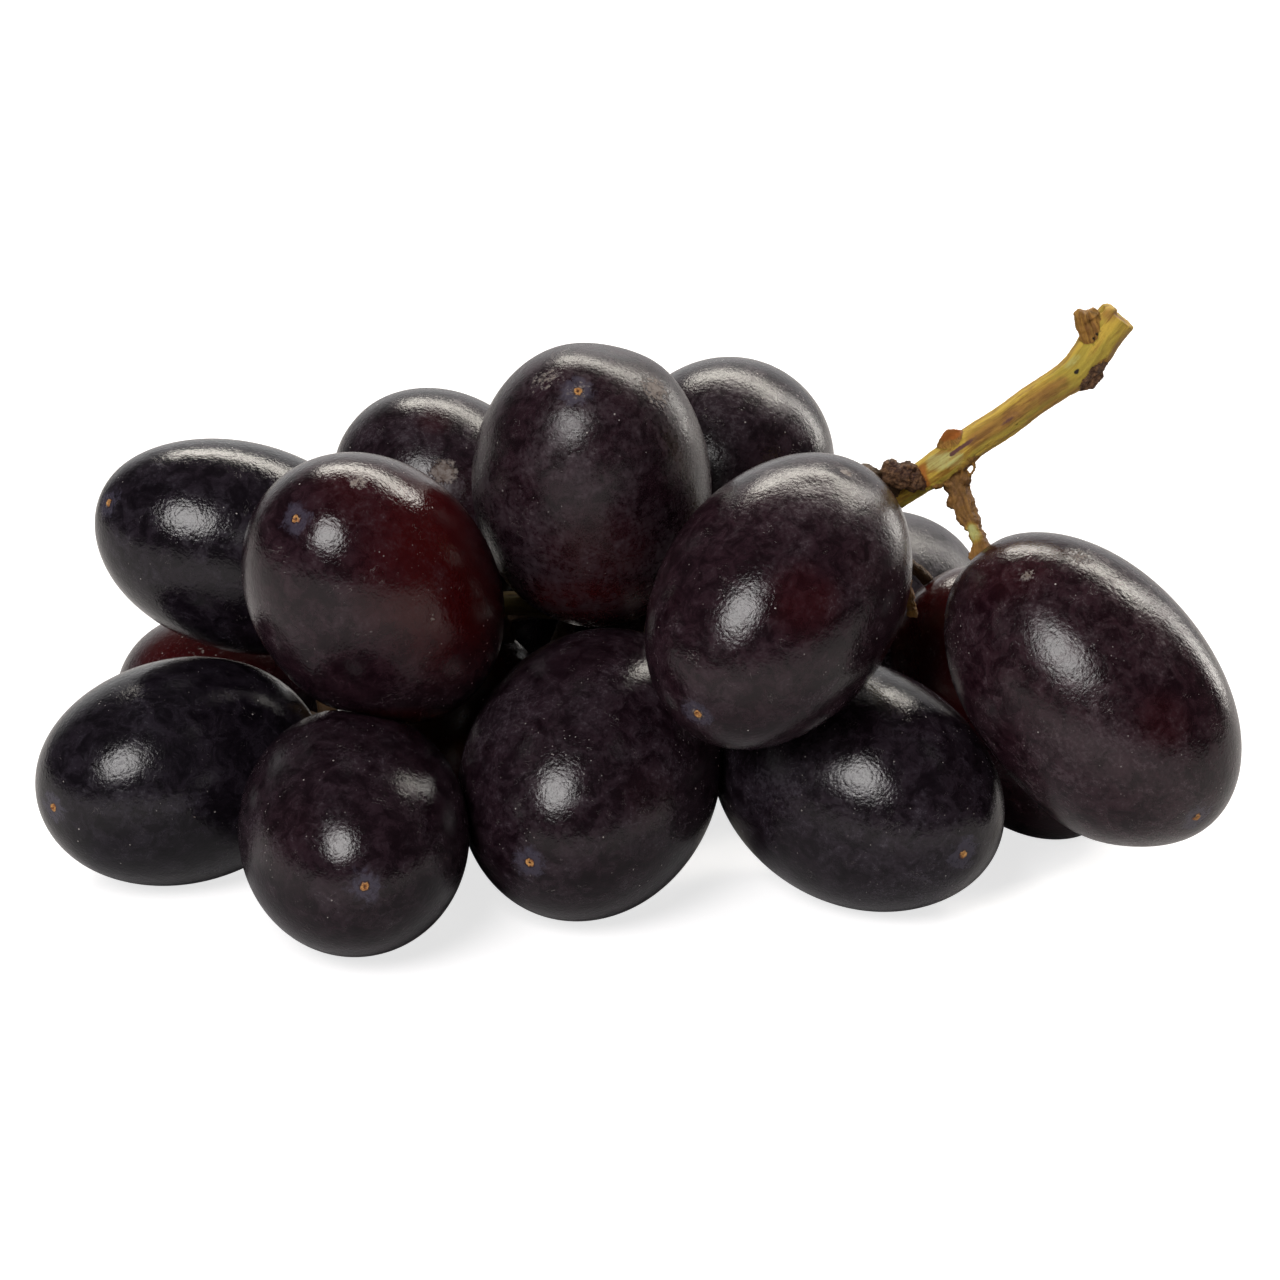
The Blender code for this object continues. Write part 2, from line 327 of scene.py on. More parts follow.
# The gap left between two pressed skins, and between a skin and the surface.
SKIN_GAP = 0.02
SURFACE_GAP = 0.02
# Grapes this close press on each other, or nearly.
NEAR = 1.5


def direction(heading, tilt):
    """The unit vector with this heading (0 is -Y, 90 is +X) and this tilt above the level."""
    flat = cos(radians(tilt))
    turn = radians(heading)
    return Vector((flat * sin(turn), -flat * cos(turn), sin(radians(tilt))))


def fading(distance, reach):
    """1 at no distance, about a third at the reach, and nothing well past it."""
    return np.exp(-((distance / reach) ** 2))


class Ellipsoid:
    """A grape's plain shape: its centre, axis towards the blossom end, and half sizes, in mm."""

    def __init__(self, x, y, z, heading, tilt, length, width):
        self.centre = Vector((x, y, z))
        self.axis = direction(heading, tilt)
        self.half_length = length / 2
        self.half_width = width / 2

    def support(self, normal):
        """The point of the surface that lies furthest along the normal."""
        along = self.axis.dot(normal)
        stretched = self.half_width**2 * normal
        stretched += (self.half_length**2 - self.half_width**2) * along * self.axis
        return self.centre + stretched / normal.dot(stretched) ** 0.5

    def at(self, heading, tilt):
        """The point of the surface that lies this way from the centre, and its normal."""
        way = direction(heading, tilt)
        along = way.dot(self.axis)
        across = (1 - along**2) ** 0.5
        reach = ((along / self.half_length) ** 2 + (across / self.half_width) ** 2) ** -0.5
        out = way - along * self.axis
        normal = out / self.half_width**2 + along * self.axis / self.half_length**2
        return self.centre + way * reach, normal.normalized()

    def placement(self):
        """The matrix from the grape's own frame, whose Z is its axis, to the scene's."""
        turn = self.axis.to_track_quat("Z", "Y").to_matrix().to_4x4()
        return Matrix.Translation(self.centre * MM) @ turn


def contact(first, second):
    """The plane where two grapes touch: its normal, its place along it, and the gap there."""
    best_gap = -inf
    normal = (second.centre - first.centre).normalized()
    for _ in range(CONTACT_TURNS):
        ahead = first.support(normal)
        behind = second.support(-normal)
        space = (behind - ahead).dot(normal)
        if space > best_gap:
            best_gap = space
            best_normal = normal.copy()
            middle = (ahead.dot(normal) + behind.dot(normal)) / 2
        normal = (normal + CONTACT_TURN * (behind - ahead)).normalized()
    return best_normal, middle, best_gap


def contact_planes(shapes):
    """The planes that each grape stays behind: those of its neighbours and of the surface."""
    planes = {name: [(Vector((0, 0, -1)), -SURFACE_GAP)] for name in shapes}
    names = list(shapes)
    for count, name in enumerate(names):
        for other in names[count + 1 :]:
            normal, middle, space = contact(shapes[name], shapes[other])
            if space < NEAR:
                planes[name].append((normal, middle - SKIN_GAP / 2))
                planes[other].append((-normal, -middle - SKIN_GAP / 2))
    return planes


# ---------------------------------------------------------------- shader helpers


class Shader:
    """Builds one material's nodes. Its methods return the socket they make."""

    def __init__(self, name):
        self.material = bpy.data.materials.new(name)
        self.material.use_nodes = True
        self.nodes = self.material.node_tree.nodes
        self.links = self.material.node_tree.links
        self.surface = self.nodes["Principled BSDF"]

    def set(self, target, value):
        if isinstance(value, bpy.types.NodeSocket):
            self.links.new(value, target)
        else:
            target.default_value = value

    def node(self, kind, inputs=(), **settings):
        made = self.nodes.new(kind)
        for key, value in settings.items():
            setattr(made, key, value)
        for key, value in dict(inputs).items():
            self.set(made.inputs[key], value)
        return made

    def place(self, scale=(1, 1, 1), shift=(0, 0, 0), stored=None):
        """The piece's own coordinates, or stored ones, in mm, stretched and shifted."""
        if stored:
            own = self.attribute(stored, "Vector")
            sizes = scale
        else:
            own = self.node("ShaderNodeTexCoord").outputs["Object"]
            sizes = tuple(s / MM for s in scale)
        inputs = {0: own, 1: sizes, 2: shift}
        return self.node("ShaderNodeVectorMath", inputs, operation="MULTIPLY_ADD").outputs[0]

    def attribute(self, name, output="Fac"):
        return self.node("ShaderNodeAttribute", attribute_name=name).outputs[output]

    def noise(self, place, scale, detail=2.0, roughness=0.5, distortion=0.0):
        inputs = {
            "Vector": place,
            "Scale": scale,
            "Detail": detail,
            "Roughness": roughness,
            "Distortion": distortion,
        }
        return self.node("ShaderNodeTexNoise", inputs).outputs["Fac"]

    def cells(self, place, scale):
        """The distance to the nearest of many scattered points."""
        inputs = {"Vector": place, "Scale": scale}
        return self.node("ShaderNodeTexVoronoi", inputs).outputs["Distance"]

    def ramp(self, value, low, high, to_low=0.0, to_high=1.0):
        """The value eased from to_low at low to to_high at high."""
        inputs = {"Value": value, 1: low, 2: high, 3: to_low, 4: to_high}
        made = self.node("ShaderNodeMapRange", inputs, interpolation_type="SMOOTHSTEP")
        return made.outputs[0]

    def math(self, operation, a, b=0.0):
        return self.node("ShaderNodeMath", {0: a, 1: b}, operation=operation).outputs[0]

    def times(self, *values):
        product = values[0]
        for value in values[1:]:
            product = self.math("MULTIPLY", product, value)
        return product

    def plus(self, *values):
        total = values[0]
        for value in values[1:]:
            total = self.math("ADD", total, value)
        return total

    def mix(self, share, a, b):
        made = self.node("ShaderNodeMix", data_type="RGBA")
        self.set(made.inputs["Factor"], share)
        self.set(made.inputs["A"], a)
        self.set(made.inputs["B"], b)
        return made.outputs["Result"]

    def bump(self, height, distance, normal=None):
        inputs = {"Height": height, "Strength": 1.0, "Distance": distance}
        made = self.node("ShaderNodeBump", inputs)
        if normal:
            self.links.new(normal, made.inputs["Normal"])
        return made.outputs["Normal"]

    def finish(self, **values):
        for key, value in values.items():
            title = key.replace("_", " ").title().replace("Ior", "IOR")
            self.set(self.surface.inputs[title], value)
        return self.material


def rgb(red, green, blue):
    return (red, green, blue, 1.0)


# ---------------------------------------------------------------- grapes

SEGMENTS = 192
RINGS = 150
# The rings stand closer together near both ends, where the scar and the pedicel are.
END_CROWDING = 0.5
# How softly a skin bends where it is pressed flat.
SOFTNESS = 0.12
# The skin's unevenness: how many waves, the range of their beats, and their size. That and
# the fullness towards one end are shares of the grape's half width.
SWELL_WAVES = 9
SWELL_BEATS = (1.6, 5.0)
SWELL_SIZE = 0.006
FULLNESS = (-0.012, 0.015)
# The blossom scar: a corky ring of uneven height in a shallow hollow, with a pit inside.
SCAR_RING_RADIUS = (0.22, 0.3)
SCAR_RING_WIDTH = 0.11
SCAR_RING_HEIGHT = 0.09
SCAR_RING_LEVEL = 0.6
SCAR_RING_WAVER = 0.8
SCAR_HOLLOW_RADIUS = 1.6
SCAR_HOLLOW_DEPTH = 0.16
SCAR_PIT_RADIUS = 0.12
SCAR_PIT_DEPTH = 0.08
# The hollow that the pedicel enters.
STEM_HOLLOW_RADIUS = 2.0
STEM_HOLLOW_DEPTH = 0.45
# The share of a painted glow's spread that it fills at full strength.
GLOW_CORE = 0.25
# Stored as the distance from the scar on the half of the skin that has none.
FAR = 99.0
# How deep the skin's shaded relief is, in metres: its broad waves and its fine grit.
SKIN_WAVES_DEPTH = 0.000034
SKIN_GRIT_DEPTH = 0.000026
# How dark the scar's pit is, for every third grape in turn.
PIT_STRENGTHS = (0.9, 0.1, 0.7)


def ring_angles():
    t = np.linspace(0, 1, RINGS + 1)
    return pi * (t - END_CROWDING * np.sin(2 * pi * t) / (2 * pi))


def turned(ways, axis, angles):
    """The unit vectors turned about the axis, each by its own angle."""
    cosine = np.cos(angles)[..., None]
    sine = np.sin(angles)[..., None]
    along = (ways @ axis)[..., None]
    return ways * cosine + np.cross(axis, ways) * sine + axis * along * (1 - cosine)


def wavering(turn, random):
    """A value round the axis that wavers about 0.5."""
    value = 0.5 + 0 * turn
    for beats in (2, 3, 5, 7):
        value = value + 0.5 / beats * np.cos(beats * turn + random.uniform(0, 2 * pi))
    return value


def grape_points(name, shape, random):
    """The unpressed skin: points in the grape's own frame in mm, as (rings, segments, 3),
    their distances from the scar, and which of them are nearer to it than to the pedicel."""
    along = ring_angles()[:, None]
    turn = np.linspace(0, 2 * pi, SEGMENTS, endpoint=False)[None, :]
    ways = np.stack(
        [np.sin(along) * np.cos(turn), np.sin(along) * np.sin(turn), np.cos(along) + 0 * turn], -1
    )
    sizes = np.array((shape.half_width, shape.half_width, shape.half_length))
    to_own = np.array(shape.placement().to_3x3()).T
    if name in SCARS:
        # The net of points slides over the skin, so that its pole meets the scar.
        scar = to_own @ np.array(shape.at(*SCARS[name])[0] - shape.centre) / sizes
        axis = np.cross((0, 0, 1), scar)
        angle = np.arctan2(np.linalg.norm(axis), scar[2])
        ways = turned(ways, axis / np.linalg.norm(axis), angle * (1 + ways[..., 2]) / 2)
    points = ways * sizes
    normals = ways / sizes
    normals /= np.linalg.norm(normals, axis=-1, keepdims=True)

    # Broad, shallow unevenness, which no two grapes share.
    swell = np.zeros(ways.shape[:2])
    for _ in range(SWELL_WAVES):
        wave = random.normal(size=3)
        wave *= random.uniform(*SWELL_BEATS) / np.linalg.norm(wave)
        swell += np.cos(ways @ wave + random.uniform(0, 2 * pi)) / np.linalg.norm(wave)
    swell *= SWELL_SIZE * shape.half_width / swell.std()
    # A grape is a little fuller towards one end.
    swell += random.uniform(*FULLNESS) * shape.half_width * ways[..., 2]
    for heading, tilt, height, radius in DENTS.get(name, []):
        place = to_own @ np.array(shape.at(heading, tilt)[0] - shape.centre)
        away = np.linalg.norm(points - place, axis=-1)
        swell += height * fading(away, radius)

    at_scar = along + 0 * turn < pi / 2
    from_scar = np.linalg.norm(points - points[0, 0], axis=-1)
    from_stem = np.linalg.norm(points - points[-1, 0], axis=-1)
    ring = fading(from_scar - random.uniform(*SCAR_RING_RADIUS), SCAR_RING_WIDTH)
    ring *= SCAR_RING_HEIGHT * (SCAR_RING_LEVEL + SCAR_RING_WAVER * wavering(turn, random))
    hollow = SCAR_HOLLOW_DEPTH * fading(from_scar, SCAR_HOLLOW_RADIUS)
    pit = SCAR_PIT_DEPTH * fading(from_scar, SCAR_PIT_RADIUS)
    swell += np.where(at_scar, ring - hollow - pit, 0)
    socket = STEM_HOLLOW_DEPTH * fading(from_stem, STEM_HOLLOW_RADIUS)
    swell -= np.where(at_scar, 0, socket)
    return points + swell[..., None] * normals, from_scar, at_scar


def soft_excess(distance):
    """How far to push back a point this far beyond a plane, so that the skin bends softly."""
    share = distance / SOFTNESS
    return SOFTNESS * (np.maximum(share, 0) + np.log1p(np.exp(-np.abs(share))))


def painted_glow(name, outward):
    """How strongly light coming through the skin is painted into its colour, for unit vectors
    from the grape's centre.
    """
    strongest = np.zeros(len(outward))
    for heading, tilt, spread, strength in PAINTED_GLOWS.get(name, []):
        way = np.array(direction(heading, tilt))
        angle = np.degrees(np.arccos(np.clip(outward @ way, -1, 1)))
        share = np.clip(1 + GLOW_CORE - angle / spread, 0, 1)
        strongest = np.maximum(strongest, strength * share * share * (3 - 2 * share))
    return strongest


def patches(table, name, shape, places):
    """How strongly the table's patches for this grape reach each place, in mm."""
    strongest = np.zeros(len(places))
    for heading, tilt, radius, strength in table.get(name, []):
        away = np.linalg.norm(places - np.array(shape.at(heading, tilt)[0]), axis=1)
        strongest = np.maximum(strongest, strength * fading(away, radius))
    return strongest


def joined(values):
    """The net's values as one list, with a single value where each end closes."""
    middle = values[1:-1].reshape(-1, *values.shape[2:])
    return np.concatenate([values[0, :1], middle, values[-1, :1]])


def skin_faces():
    """The faces between the net's points: a fan at each end, and rows of quads."""
    last_row = 1 + (RINGS - 2) * SEGMENTS
    last = last_row + SEGMENTS
    fans = []
    for side in range(SEGMENTS):
        after = (side + 1) % SEGMENTS
        fans.append((0, 1 + side, 1 + after))
        fans.append((last, last_row + after, last_row + side))
    row = 1 + np.arange(RINGS - 2)[:, None] * SEGMENTS
    side = np.arange(SEGMENTS)[None, :]
    low = row + side
    high = row + (side + 1) % SEGMENTS
    quads = np.stack([low, low + SEGMENTS, high + SEGMENTS, high], -1).reshape(-1, 4)
    return fans + quads.tolist()


def grape_mesh(name, shape, planes, random):
    """The pressed skin, with what its material needs to know stored at each point."""
    points, from_scar, at_scar = grape_points(name, shape, random)
    turn = np.array(shape.placement().to_3x3())
    centre = np.array(shape.centre)
    flat = points.reshape(-1, 3) @ turn.T + centre
    for normal, limit in planes:
        push = soft_excess(flat @ np.array(normal) - limit)
        flat -= push[:, None] * np.array(normal)
    verts = joined(((flat - centre) @ turn).reshape(points.shape)) * MM
    outward = flat - centre
    outward /= np.linalg.norm(outward, axis=1, keepdims=True)

    mesh = bpy.data.meshes.new(name)
    mesh.from_pydata(verts.tolist(), [], skin_faces())
    mesh.shade_smooth()
    add_values(mesh, "from_scar", joined(np.where(at_scar, from_scar, FAR)))
    spread = {
        "painted_glow": painted_glow(name, outward),
        "haze": patches(HAZES, name, shape, flat),
        "crust": patches(CRUSTS, name, shape, flat),
    }
    for label, values in spread.items():
        add_values(mesh, label, joined(values.reshape(from_scar.shape)))
    add_places(mesh, "own", verts / MM)
    mesh.transform(shape.placement())
    return mesh


def add_values(mesh, name, values):
    made = mesh.attributes.new(name, "FLOAT", "POINT")
    made.data.foreach_set("value", values.astype(np.float32))


def add_places(mesh, name, places):
    made = mesh.attributes.new(name, "FLOAT_VECTOR", "POINT")
    made.data.foreach_set("vector", places.astype(np.float32).ravel())


def skin_marks(s, place, shift):
    """Specks of dust, dried drops and short scratches, from 0 to 1."""
    specks = s.ramp(s.cells(place, 0.62), 0.035, 0.06, 1.0, 0.0)
    specks = s.times(specks, s.ramp(s.noise(place, 0.16, 2), 0.46, 0.54))
    drifts = s.noise(s.place(shift=(7, 3, 9), stored="own"), 0.2, 3)
    dust = s.ramp(s.cells(place, 1.7), 0.07, 0.13, 1.0, 0.0)
    dust = s.times(dust, s.ramp(drifts, 0.56, 0.66), 0.7)
    scratch = s.noise(s.place((0.3, 0.75, 1.9), shift, "own"), 0.8, 2, 0.5, 1.8)
    scratch = s.ramp(s.math("ABSOLUTE", s.plus(scratch, -0.5)), 0.0, 0.005, 1.0, 0.0)
    scratch = s.times(scratch, s.ramp(s.noise(place, 0.5, 2), 0.6, 0.68), 0.5)
    return s.math("MAXIMUM", s.math("MAXIMUM", specks, dust), scratch)


def scarred(s, colour, fine, peel, pit_strength):
    """The colour with the blossom scar: a corky golden ring round a dark pit, and a dark band of
    painted shadow round the ring. Also where the ring is."""
    from_scar = s.attribute("from_scar")
    edge = s.plus(from_scar, s.times(s.plus(peel, s.plus(fine, -1.0)), 0.45))
    ring_shadow = s.ramp(edge, 0.46, 0.58, 1.0, 0.0)
    ring = s.ramp(edge, 0.33, 0.43, 1.0, 0.0)
    cork = s.mix(s.ramp(fine, 0.38, 0.6), rgb(0.20, 0.055, 0.012), rgb(0.66, 0.34, 0.11))
    # Painted shadow: a near-black band round the scar's ring.
    colour = s.mix(s.times(ring_shadow, 0.7), colour, rgb(0.016, 0.004, 0.003))
    colour = s.mix(s.times(ring, 0.9), colour, cork)
    pit = s.ramp(from_scar, 0.06, 0.17, pit_strength, 0.0)
    return s.mix(pit, colour, rgb(0.02, 0.008, 0.004)), ring


def skin(name, number, bloom, dullness, warmth):
    """Grape skin: nearly black, with painted light coming through it in red and amber, under a
    rubbed waxy bloom.
    """
    s = Shader(name + "_skin")
    shift = (number * 37.1, number * 11.7, number * 23.9)
    place = s.place(shift=shift, stored="own")
    clouds = s.noise(place, 0.15, 4, 0.6, 0.8)
    mottle = s.noise(place, 0.6, 5, 0.68, 0.6)
    fine = s.noise(place, 2.4, 4, 0.7)
    peel = s.noise(place, 3.4, 1, 0.5)
    waves = s.noise(place, 0.75, 1, 0.5, 0.3)
    rubbed = s.noise(s.place((0.9, 0.9, 0.28), shift, "own"), 0.45, 5, 0.72, 1.4)
    wax = s.plus(s.times(clouds, 0.5), s.times(mottle, 0.4), s.times(fine, 0.2))
    wax = s.ramp(wax, 0.56 - 0.12 * bloom, 0.80 - 0.12 * bloom)
    wax = s.times(wax, s.ramp(rubbed, 0.4, 0.6, 0.3, 1.0))

    # A star of thicker bloom surrounds the scar at the blossom end.
    from_scar = s.attribute("from_scar")
    rays = s.noise(place, 1.1, 3, 0.65, 0.6)
    halo = s.ramp(s.plus(from_scar, s.times(rays, -3.2)), -0.75, 0.15, 1.0, 0.0)

    # Painted light through the skin: red, partly the skin's own colour, and amber where it is
    # strongest.
    painted_glow = s.attribute("painted_glow")
    painted_glow = s.times(painted_glow, s.ramp(s.plus(clouds, s.times(mottle, 0.5)), 0.5, 0.95, 0.7, 1.1))
    blotched = s.ramp(mottle, 0.36, 0.66)
    warm = s.mix(blotched, rgb(0.0090, 0.0026, 0.0046), rgb(0.0260, 0.0098, 0.0145))
    cool = s.mix(blotched, rgb(0.0040, 0.0032, 0.0052), rgb(0.0140, 0.0115, 0.0170))
    deep = s.mix(warmth, cool, warm)
    colour = s.mix(s.ramp(painted_glow, 0.15, 1.0), deep, rgb(0.040, 0.0016, 0.0018))
    colour = s.mix(s.ramp(painted_glow, 1.1, 1.8), colour, rgb(0.055, 0.016, 0.002))
    powdery = s.ramp(fine, 0.35, 0.68)
    dusty = s.mix(powdery, rgb(0.024, 0.022, 0.030), rgb(0.066, 0.062, 0.082))
    ruddy = s.mix(powdery, rgb(0.036, 0.019, 0.025), rgb(0.088, 0.062, 0.072))
    dusty = s.mix(warmth, dusty, ruddy)
    colour = s.mix(s.times(wax, 0.3 + 0.5 * bloom), colour, dusty)
    colour = s.mix(s.times(halo, 0.5), colour, rgb(0.078, 0.070, 0.105))
    haze = s.times(s.attribute("haze"), s.ramp(s.plus(clouds, s.times(mottle, 0.6)), 0.62, 0.98))
    colour = s.mix(s.times(haze, 0.6), colour, dusty)
    crust = s.plus(s.attribute("crust"), s.times(s.plus(fine, s.times(peel, 0.5)), 1.6))
    crust = s.ramp(crust, 1.75, 2.05)
    russet = s.mix(s.ramp(fine, 0.4, 0.6), rgb(0.10, 0.06, 0.04), rgb(0.24, 0.20, 0.18))
    colour = s.mix(s.times(crust, 0.75), colour, russet)

    marks = skin_marks(s, place, shift)
    colour = s.mix(s.times(marks, 0.85), colour, rgb(0.46, 0.42, 0.40))

    colour, ring = scarred(s, colour, fine, peel, PIT_STRENGTHS[number % 3])

    rough = s.plus(0.125 + dullness, s.times(wax, 0.15), s.times(marks, 0.2), s.times(ring, 0.35))
    rough = s.plus(rough, s.times(s.plus(fine, -0.4), 0.3), s.times(crust, 0.25))
    rough = s.plus(rough, s.times(s.attribute("haze"), 0.1))
    rough = s.plus(rough, s.times(halo, 0.12))
    broad = s.bump(s.plus(waves, s.times(mottle, 0.4)), SKIN_WAVES_DEPTH)
    grit = s.plus(peel, s.times(fine, 0.9), s.times(marks, 0.4), s.times(crust, 1.5))
    normal = s.bump(grit, SKIN_GRIT_DEPTH, broad)
    return s.finish(
        base_color=colour,
        roughness=rough,
        normal=normal,
        ior=1.42,
        specular_ior_level=0.5,
    )


def make_grapes():
    shapes = {name: Ellipsoid(*row[:7]) for name, row in GRAPES.items()}
    planes = contact_planes(shapes)
    for number, (name, shape) in enumerate(shapes.items()):
        random = np.random.default_rng(100 + number)
        mesh = grape_mesh(name, shape, planes[name], random)
        mesh.materials.append(skin(name, number + 1, *BLOOM.get(name, USUAL_BLOOM)))
        piece = bpy.data.objects.new(name.replace("grape", "berry"), mesh)
        bpy.context.scene.collection.objects.link(piece)
        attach(piece, "root")
        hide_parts(name)
    return shapes


# ---------------------------------------------------------------- stem

# The size of the grid that the stem's parts grow together on.
VOXEL = 0.13
MOST_TRIANGLES = 190000
# Among how many points of the centre lines the nearest surface is looked for.
NEIGHBOURS = 12
RACHIS_STEPS = 10
RACHIS_SIDES = 24
PEDICEL_STEPS = 22
PEDICEL_SIDES = 12
TWIG_STEPS = 6
TWIG_SIDES = 14
BRANCH_SIDES = 16
LUMP_RINGS = 12
LUMP_SIDES = 18
# How far out of the grape the pedicel points straight, as a share of its span.
PEDICEL_REACH = 0.35
PEDICEL_OVERLAP = 0.1
# How a pedicel swells at its base, narrows at its neck, and how warty it is.
BASE_SWELL = 0.5
NECK_SWELL = -0.25
WARTS = 0.08
WART_SCALE = 1.3
# How far from the grape its collar keeps its full width, how far it fades after that, and
# where the neck is.
COLLAR_DEPTH = 0.5
COLLAR_FADE = 0.9
NECK_PLACE = 2.6
NECK_REACH = 0.9
# How much a pedicel widens where it meets its grape, as a share of its radius.
USUAL_COLLAR = 0.75
SLIM_COLLARS = {"grape_right_2": -0.1, "grape_front_4": 0.2}
# The grain's scale round the stem. The ridges' scales round and along it, and the scales of
# the rough surface and of a lump's wandering.
GRAIN_ROUND = 1.4
RIDGES_ROUND = 3.4
RIDGES_ALONG = 0.2
ROUGH_SCALE = 1.7
WANDER_SCALE = 1.3
# Heights of the ridges, the rough surface and the cork, and what gnarled wood adds.
RIDGE_HEIGHT = 0.07
ROUGH_HEIGHT = 0.03
CORK_HEIGHT = 0.14
GNARLED = ("twig", "collar", "end", "head", "stub")
GNARLED_ROUGH = 0.08
GNARLED_RIDGE = 0.05
# How strongly shade is painted on the pedicels inside the bunch.
SIDE_SHADE = 0.85
# A hollow is left out where its square distance, in radii, is over this.
HOLLOW_END = 6
BARK_RELIEF_DEPTH = 0.00018


def smooth_path(points, steps):
    """A smooth curve through the points, each an (x, y, z, radius), with steps in each span."""
    ends = [Vector(p) for p in points]
    ends = [2 * ends[0] - ends[1], *ends, 2 * ends[-1] - ends[-2]]
    path = []
    for a, b, c, d in zip(ends, ends[1:], ends[2:], ends[3:]):
        for step in range(steps):
            t = step / steps
            line = (c - a) * t
            square = (2 * a - 5 * b + 4 * c - d) * t**2
            cube = (3 * b - a - 3 * c + d) * t**3
            path.append((2 * b + line + square + cube) / 2)
    path.append(ends[-2])
    return path


def point_at(path, distance):
    """The point of the path at this distance from its start."""
    for a, b in zip(path, path[1:]):
        step = (b.xyz - a.xyz).length
        if distance <= step:
            return a.lerp(b, distance / step)
        distance -= step
    return path[-1]


class Wood:
    """Gathers the stem's rough shape as overlapping closed tubes and lumps, in mm, and the
    centre line of each tube, which later gives the grain its direction."""

    def __init__(self):
        self.verts = []
        self.faces = []
        self.lines = []

    def tube(self, path, sides, kind="green"):
        first = len(self.verts)
        across = None
        run = 0.0
        for index, point in enumerate(path):
            ahead = path[min(index + 1, len(path) - 1)].xyz - path[max(index - 1, 0)].xyz
            ahead.normalize()
            if across is None:
                across = ahead.orthogonal()
            across = (across - across.dot(ahead) * ahead).normalized()
            other = ahead.cross(across)
            if index:
                run += (point.xyz - path[index - 1].xyz).length
            self.lines.append((point.xyz.copy(), across.copy(), other.copy(), run, kind, point.w))
            for side in range(sides):
                angle = 2 * pi * side / sides
                offset = point.w * (cos(angle) * across + sin(angle) * other)
                self.verts.append(point.xyz + offset)
        for ring in range(len(path) - 1):
            for side in range(sides):
                low = first + ring * sides
                high = low + sides
                after = (side + 1) % sides
                self.faces.append((low + side, low + after, high + after, high + side))
        self.faces.append(tuple(first + side for side in reversed(range(sides))))
        top = first + (len(path) - 1) * sides
        self.faces.append(tuple(top + side for side in range(sides)))

    def lump(self, centre, sizes, roughness, kind):
        """A gnarled lump: a stretched ball whose surface wanders in and out."""
        first = len(self.verts)
        centre = Vector(centre)
        self.lines.append((centre, Vector((1, 0, 0)), Vector((0, 1, 0)), 0.0, kind, min(sizes)))
        for ring in range(LUMP_RINGS + 1):
            down = pi * ring / LUMP_RINGS
            for side in range(LUMP_SIDES if 0 < ring < LUMP_RINGS else 1):
                angle = 2 * pi * side / LUMP_SIDES
                way = Vector((sin(down) * cos(angle), sin(down) * sin(angle), cos(down)))
                wander = 1 + roughness * noise.fractal(way * WANDER_SCALE + centre, 1, 2, 3)
                self.verts.append(centre + way * Vector(sizes) * wander)
        last = len(self.verts) - 1
        for side in range(LUMP_SIDES):
            after = (side + 1) % LUMP_SIDES
            self.faces.append((first, first + 1 + side, first + 1 + after))
            base = first + 1 + (LUMP_RINGS - 2) * LUMP_SIDES
            self.faces.append((last, base + after, base + side))
            for ring in range(LUMP_RINGS - 2):
                low = first + 1 + ring * LUMP_SIDES
                high = low + LUMP_SIDES
                self.faces.append((low + side, high + side, high + after, low + after))


def pedicel_path(shape, start, radius, collar):
    """The CAD pedicel's curve, with a warty collar that meets the grape."""
    reach = shape.half_length - STEM_HOLLOW_DEPTH + PEDICEL_OVERLAP
    end = shape.centre - shape.axis * reach
    bend = end - shape.axis * (start - end).length * PEDICEL_REACH
    path = []
    for step in range(PEDICEL_STEPS + 1):
        t = step / PEDICEL_STEPS
        place = (1 - t) ** 2 * start + 2 * t * (1 - t) * bend + t**2 * end
        swell = 1 + BASE_SWELL * (1 - t) ** 3
        left = (end - place).length
        swell += collar * fading(max(left - COLLAR_DEPTH, 0), COLLAR_FADE)
        swell += NECK_SWELL * fading(left - NECK_PLACE, NECK_REACH)
        swell += WARTS * noise.noise(place * WART_SCALE)
        path.append(Vector((*place, radius * float(swell))))
    return path


def make_stem(shapes):
    wood = Wood()
    route = smooth_path(RACHIS, RACHIS_STEPS)
    wood.tube(route, RACHIS_SIDES)
    for name, row in GRAPES.items():
        joins_at, radius = row[7:]
        start = point_at(route, joins_at).xyz
        if name != "grape_right_1":
            collar = SLIM_COLLARS.get(name, USUAL_COLLAR)
            path = pedicel_path(shapes[name], start, radius, collar)
            wood.tube(path, PEDICEL_SIDES, "side")
    wood.tube(smooth_path(SIDE_BRANCH, TWIG_STEPS), BRANCH_SIDES, "twig")
    for kind, points in TWIGS:
        wood.tube(smooth_path(points, TWIG_STEPS), TWIG_SIDES, kind)
    for lump in LUMPS:
        wood.lump(*lump)
    mesh = bpy.data.meshes.new("stem_wood")
    mesh.from_pydata([tuple(v * MM) for v in wood.verts], [], wood.faces)
    piece = bpy.data.objects.new("stem_wood", mesh)
    bpy.context.scene.collection.objects.link(piece)
    remesh = piece.modifiers.new("grown_together", "REMESH")
    remesh.mode = "VOXEL"
    remesh.voxel_size = VOXEL * MM
    softened = piece.modifiers.new("softened", "CORRECTIVE_SMOOTH")
    softened.iterations = 4
    softened.smooth_type = "SIMPLE"
    softened.use_only_smooth = True
    bake(piece)
    carve(piece.data, wood)
    thinned = piece.modifiers.new("thinned", "DECIMATE")
    thinned.ratio = min(1.0, MOST_TRIANGLES / (2 * len(piece.data.polygons)))
    bake(piece)
    piece.data.shade_smooth()
    piece.data.materials.append(bark())
    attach(piece, "root")
    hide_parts("stem")


def bake(piece):
    """Replaces the piece's mesh by what its modifiers make of it."""
    graph = bpy.context.evaluated_depsgraph_get()
    whole = bpy.data.meshes.new_from_object(piece.evaluated_get(graph))
    piece.modifiers.clear()
    piece.data = whole
    whole.name = piece.name
    whole.materials.clear()


